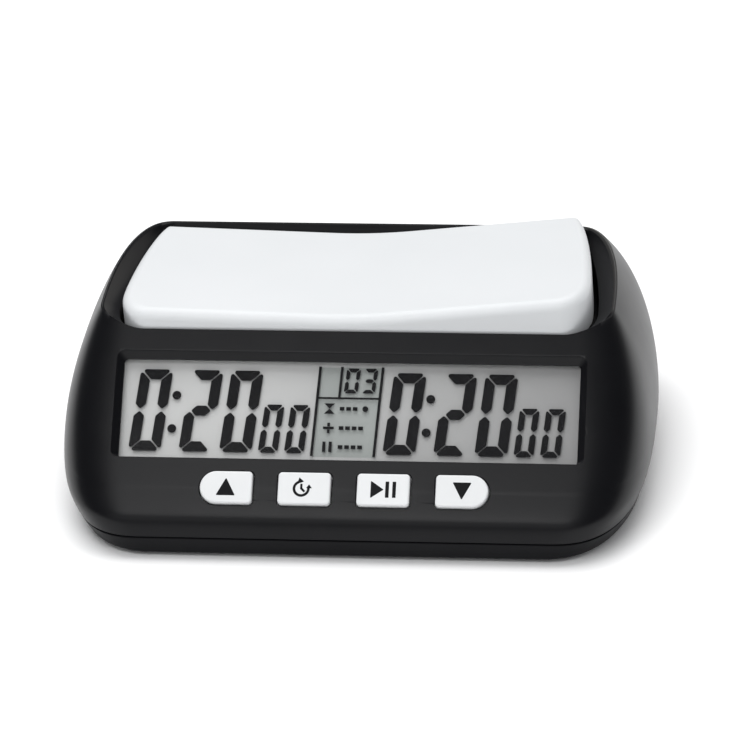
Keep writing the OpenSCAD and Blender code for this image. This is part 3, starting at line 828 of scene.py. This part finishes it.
def symbol_shapes(name):
    """The printed symbol's polygons, in millimetres round the key's centre."""
    if name == "up":
        return [rounded([(-2.15, -1.95), (2.15, -1.95), (0, 2.1)], 0.15)]
    if name == "down":
        return [rounded([(2.1, 1.95), (-2.1, 1.95), (0, -2.05)], 0.15)]
    if name == "play":
        bars = [[(x, -1.85), (x + 0.8, -1.85), (x + 0.8, 1.85), (x, 1.85)] for x in (0.5, 2.05)]
        triangle = [(-2.75, -2.0), (0.15, 0), (-2.75, 2.0)]
        return [rounded(triangle, 0.12)] + [rounded(bar, 0.08) for bar in bars]
    # The clock symbol: an open ring that ends in an arrow, with two hands
    x, s = -0.6, -0.1
    start = math.radians(115)
    ring = arc_band(x, s, 1.3, 1.9, start, start + math.radians(255))
    arrow = [(x - 1.0, s + 1.05), (x + 0.55, s + 1.6), (x - 0.5, s + 2.55)]
    stub = [(x + 1.05, s + 0.1), (x + 2.4, s + 0.1), (x + 1.7, s + 1.0)]
    hands = [[(x - 0.25, s - 0.1), (x + 0.25, s - 0.1), (x + 0.25, s + 1.1), (x - 0.25, s + 1.1)],
             [(x - 0.25, s - 0.1), (x + 0.6, s - 0.9), (x + 0.95, s - 0.55), (x + 0.2, s + 0.2)]]
    return ring + [rounded(arrow, 0.05), rounded(stub, 0.05)] + hands


def make_symbol(name):
    """The ink on a key, sunk a little into its cap."""
    bm = bmesh.new()
    levels = (KEY_PROUD - 0.05, KEY_PROUD + 0.015)
    for shape in symbol_shapes(name):
        skin(bm, [[panel((KEYS[name] + x, KEY_S + s, n)) for x, s in shape] for n in levels])
    bmesh.ops.triangulate(bm, faces=[f for f in bm.faces if len(f.verts) > 4])
    return from_bmesh("key_symbol_" + name, bm)


# ---- Display ----

# Lower and upper side of the display's layers, out of the panel
BACK_N = (-5.55, -3.6)
TINT_N = (-3.62, -3.58)
SEGMENT_N = (-3.02, -2.98)

SLANT = math.tan(math.radians(5.4))
DIGITS = {"0": "abcdef", "2": "abged", "3": "abgcd"}

# Sizes of digits: width, height, stroke, and the gap between two segments
TIME_DIGIT = (7.55, 19.35, 2.65, 0.3)
SECONDS_DIGIT = (4.65, 11.5, 1.65, 0.26)
RULE_DIGIT = (3.3, 6.0, 1.05, 0.2)

# The field between the two times, from its lower to its upper end
FIELD_LOW = 16.1
FIELD_HIGH = 37
FIELD_SPLIT = 29.65


def segment_shapes(w, h, t, gap):
    """The seven segments' outlines in an upright cell, each counter-clockwise."""
    m = h / 2
    k = t / 2
    shapes = {
        "a": [(0, h), (t, h - t), (w - t, h - t), (w, h)],
        "d": [(0, 0), (w, 0), (w - t, t), (t, t)],
        "b": [(w, h), (w - t, h - t), (w - t, m + k), (w - k, m), (w, m + k)],
        "c": [(w, 0), (w, m - k), (w - k, m), (w - t, m - k), (w - t, t)],
        "e": [(0, 0), (t, t), (t, m - k), (k, m), (0, m - k)],
        "f": [(0, h), (0, m + k), (k, m), (t, m + k), (t, h - t)],
        "g": [(k, m), (t, m - k), (w - t, m - k), (w - k, m), (w - t, m + k), (t, m + k)],
    }
    return {s: inset_polygon(p, gap / 2) for s, p in shapes.items()}


class Film:
    """Collects flat shapes on the display and makes one thin mesh of them."""

    def __init__(self, name):
        self.name = name
        self.bm = bmesh.new()

    def add(self, points):
        skin(self.bm, [[panel((x, s, n)) for x, s in points] for n in SEGMENT_N])

    def digit(self, value, x, s, size):
        w, h, t, gap = size
        shapes = segment_shapes(w, h, t, gap)
        for name in DIGITS[value]:
            self.add([(x + u + v * SLANT, s + v) for u, v in rounded(shapes[name], 0.16 * t, 4)])

    def dot(self, x, s, r):
        self.add(disc(x, s, r, 28))

    def bar(self, a, b, width):
        a, b = Vector(a), Vector(b)
        side = (b - a).normalized()
        side = Vector((-side.y, side.x)) * width / 2
        self.add([tuple(a + side), tuple(a - side), tuple(b - side), tuple(b + side)])

    def make(self):
        return from_bmesh(self.name, self.bm)


def time_group(film, x, text):
    """One player's time: hours, a colon, minutes and small seconds."""
    base = 16.55
    for value, step in zip(text[:3], (0, 11.3, 20.4)):
        film.digit(value, x + step, base, TIME_DIGIT)
    film.dot(x + 10.35, base + 13.2, 1.0)
    film.dot(x + 9.7, base + 5.4, 1.0)
    for value, step in zip(text[3:], (29.1, 34.95)):
        film.digit(value, x + step, base, SECONDS_DIGIT)


def make_display():
    hw, low, high = 52.9, 13.5, 38.3
    back = plate("display_back", [(-hw, low), (hw, low), (hw, high), (-hw, high)], *BACK_N)
    piece(back, LCD_GREY, replaced=("lcd_glass",))
    field = [(-7.8, FIELD_LOW), (5.8, FIELD_LOW), (6.9, FIELD_HIGH), (-7.1, FIELD_HIGH)]
    tint = plate("display_centre_tint", field, *TINT_N)
    piece(tint, LCD_TINT)

    times = Film("display_times")
    time_group(times, -49.35, "02000")
    time_group(times, 7.5, "02000")
    times.digit("0", -1.75, 30.75, RULE_DIGIT)
    times.digit("3", 2.1, 30.75, RULE_DIGIT)
    piece(times.make(), SEGMENT)

    rules = Film("display_rules")
    rules.bar((-8.1, FIELD_LOW), (-7.1, FIELD_HIGH), 0.6)
    rules.bar((5.8, FIELD_LOW), (6.9, FIELD_HIGH), 0.6)
    rules.bar((-7.4, FIELD_SPLIT), (6.5, FIELD_SPLIT), 0.45)
    rules.bar((-2.55, 29.8), (-2.2, FIELD_HIGH), 0.55)
    piece(rules.make(), SEGMENT)

    marks = Film("display_marks")
    x, top, middle, bottom = -4.6, 27.2, 22.7, 18.3
    marks.dot(3.4, top, 0.66)
    # An hourglass, a plus and two bars, each followed by dashes
    marks.add([(x - 1.2, top - 1.2), (x + 1.2, top - 1.2), (x, top)])
    marks.add([(x - 1.2, top + 1.2), (x, top), (x + 1.2, top + 1.2)])
    marks.bar((x - 1.2, middle), (x + 1.2, middle), 0.6)
    marks.bar((x, middle - 1.2), (x, middle - 0.35), 0.6)
    marks.bar((x, middle + 0.35), (x, middle + 1.2), 0.6)
    for bar_x in (-5.4, -4.0):
        marks.bar((bar_x, bottom - 1.2), (bar_x, bottom + 1.2), 0.7)
    for s, count in ((top, 3), (middle, 4), (bottom, 4)):
        for i in range(count):
            marks.bar((-2.3 + 1.45 * i, s), (-1.25 + 1.45 * i, s), 0.85)
    piece(marks.make(), SEGMENT)


def make_pressed_dome():
    """The rubber dome under the right plunger, built in one fixed shape."""
    low, high = mm_box("dome_right")
    x, y = (low[0] + high[0]) / 2, (low[1] + high[1]) / 2
    height = high[2] - low[2]
    profile = ((4.2, 0), (4.38, 0.15), (4.38, 0.5), (4.2, 0.66), (3.45, 0.7), (3.2, 0.85),
               (2.2, height - 0.3), (1.95, height - 0.04), (1.6, height))
    rings = [[(px, py, low[2] + z) for px, py in disc(x, y, r)] for r, z in profile]
    dome = loft("rubber_dome", rings)
    smooth(dome, 50)
    piece(dome, RUBBER, replaced=("dome_right",))
    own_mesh(dome)


# ---- Finishes of the CAD nodes that stay ----

# Material and the radius of the rounded edges
FINISHES = {
    "battery_door": (BLACK_BASE, 0.15), "case_screws": (STEEL, 0.12), "rubber_feet": (RUBBER, 0.35),
    "lcd_window": (CLEAR, 0.08), "lcd_frame": (FRAME_PLASTIC, 0.08), "lcd_reflector": (FOIL, 0),
    "zebra_strips": (ELASTOMER, 0.1), "main_pcb": (BOARD, 0.08), "pcb_screws": (STEEL, 0.12),
    "controller_blob": (EPOXY, 0.3), "quartz_crystal": (STEEL, 0.15),
    "electrolytic_capacitor": (EPOXY, 0.25), "chip_components": (CERAMIC, 0.06),
    "buzzer": (EPOXY, 0.3), "key_switch_bodies": (DARK_PLASTIC, 0.1),
    "key_up_switch_button": (DARK_PLASTIC, 0.15), "key_mode_switch_button": (DARK_PLASTIC, 0.15),
    "key_play_switch_button": (DARK_PLASTIC, 0.15), "key_down_switch_button": (DARK_PLASTIC, 0.15),
    "rocker_pivot_pin": (STEEL, 0.2), "rocker_bumpers": (RUBBER, 0.1),
    "plunger_left": (ACETAL, 0.2), "plunger_right": (ACETAL, 0.2),
    "dome_left": (RUBBER, 0.2),
    "switch_board": (BOARD, 0.08), "switch_board_screws": (STEEL, 0.12),
    "aa_battery": (SLEEVE, 0.4), "battery_spring": (NICKEL, 0), "battery_plate": (NICKEL, 0.08),
    "battery_lead_red": (RED, 0), "battery_lead_black": (BLACK_WIRE, 0), "power_lead": (BLACK_WIRE, 0),
    "board_cable": (GREY_WIRE, 0), "power_switch_body": (STEEL, 0.1),
    "power_slider": (DARK_PLASTIC, 0.15),
}


def finish_cad_nodes():
    for name, (material, radius) in FINISHES.items():
        obj = frame["nodes"][name]
        paint(obj, material)
        if radius:
            edge_bevel(obj, radius)


# ---- Stage, light and camera ----


def floor_material():
    m = Nodes("floor_paint")
    m.colour(m.noise(3, 2), [(0.3, (0.965, 0.965, 0.965)), (0.7, (0.98, 0.98, 0.98))])
    return m.set(Roughness=0.9).mat


def make_floor():
    bm = bmesh.new()
    bmesh.ops.create_grid(bm, x_segments=2, y_segments=2, size=6)
    floor = from_bmesh("floor", bm)
    paint(floor, floor_material())


def area_light(name, target, direction, distance, size, power, colour=(1, 1, 1)):
    """A soft box that shines at target from a distance along direction."""
    data = bpy.data.lights.new(name, "AREA")
    data.shape = "RECTANGLE"
    data.size, data.size_y = size
    data.energy = power
    data.color = colour
    light = bpy.data.objects.new(name, data)
    way = Vector(direction).normalized()
    light.location = Vector(target) + way * distance
    light.rotation_euler = way.to_track_quat("Z", "Y").to_euler()
    bpy.context.scene.collection.objects.link(light)


def studio_world(fill, reflected):
    """Even fill light, with darker surroundings in reflections."""
    world = bpy.data.worlds.new("studio")
    bpy.context.scene.world = world
    world.use_nodes = True
    tree = world.node_tree
    background = tree.nodes["Background"]
    background.inputs["Color"].default_value = (0.97, 0.98, 1, 1)
    path = tree.nodes.new("ShaderNodeLightPath")
    level = tree.nodes.new("ShaderNodeMapRange")
    level.inputs["To Min"].default_value = fill
    level.inputs["To Max"].default_value = reflected
    tree.links.new(path.outputs["Is Glossy Ray"], level.inputs["Value"])
    tree.links.new(level.outputs["Result"], background.inputs["Strength"])


def make_lights():
    panel_mirror = (-0.113, -0.42, 0.9)
    area_light("front_softbox", (0, -0.105, 0.02), panel_mirror, 0.26, (0.2, 0.09), 0.25)
    area_light("overhead", (0, 0, 0.02), (-0.1, 0.25, 1), 1.6, (1.6, 1.4), 25)
    area_light("front_fill", (0, 0, 0.02), (-0.15, -1, 0.45), 1.4, (1.2, 0.5), 1.8)
    area_light("back_card", (0, 0, 0.04), (0.4, 0.9, 0.36), 0.6, (0.5, 0.3), 0.4, (1, 0.97, 0.93))
    studio_world(fill=0.44, reflected=0.05)


def make_camera():
    """The photo's view."""
    azimuth, elevation, roll = (math.radians(v) for v in (7.35, 28, -2.56))
    distance = 1.125
    target = Vector((2.7, 0, 20.7 + FOOT)) * MM
    back = Vector((math.sin(azimuth) * math.cos(elevation), -math.cos(azimuth) * math.cos(elevation),
                   math.sin(elevation)))
    right = Vector((math.cos(azimuth), math.sin(azimuth), 0))
    up = back.cross(right)
    rolled_right = math.cos(roll) * right + math.sin(roll) * up
    rolled_up = back.cross(rolled_right)
    data = bpy.data.cameras.new("camera")
    data.lens = 238.4
    data.sensor_width = 36
    data.clip_start, data.clip_end = 0.05, 50
    camera = bpy.data.objects.new("camera", data)
    place = Matrix((rolled_right, rolled_up, back)).transposed().to_4x4()
    place.translation = target + back * distance
    camera.matrix_world = place
    bpy.context.scene.collection.objects.link(camera)
    bpy.context.scene.camera = camera


bpy.context.scene.view_settings.view_transform = "Standard"
make_camera()
make_floor()
make_lights()
make_top_case()
make_bottom_cover()
make_rocker()
for key_name in KEYS:
    make_key(key_name)
    piece(make_symbol(key_name), INK, body=key_name + "_key")
make_display()
make_pressed_dome()
finish_cad_nodes()
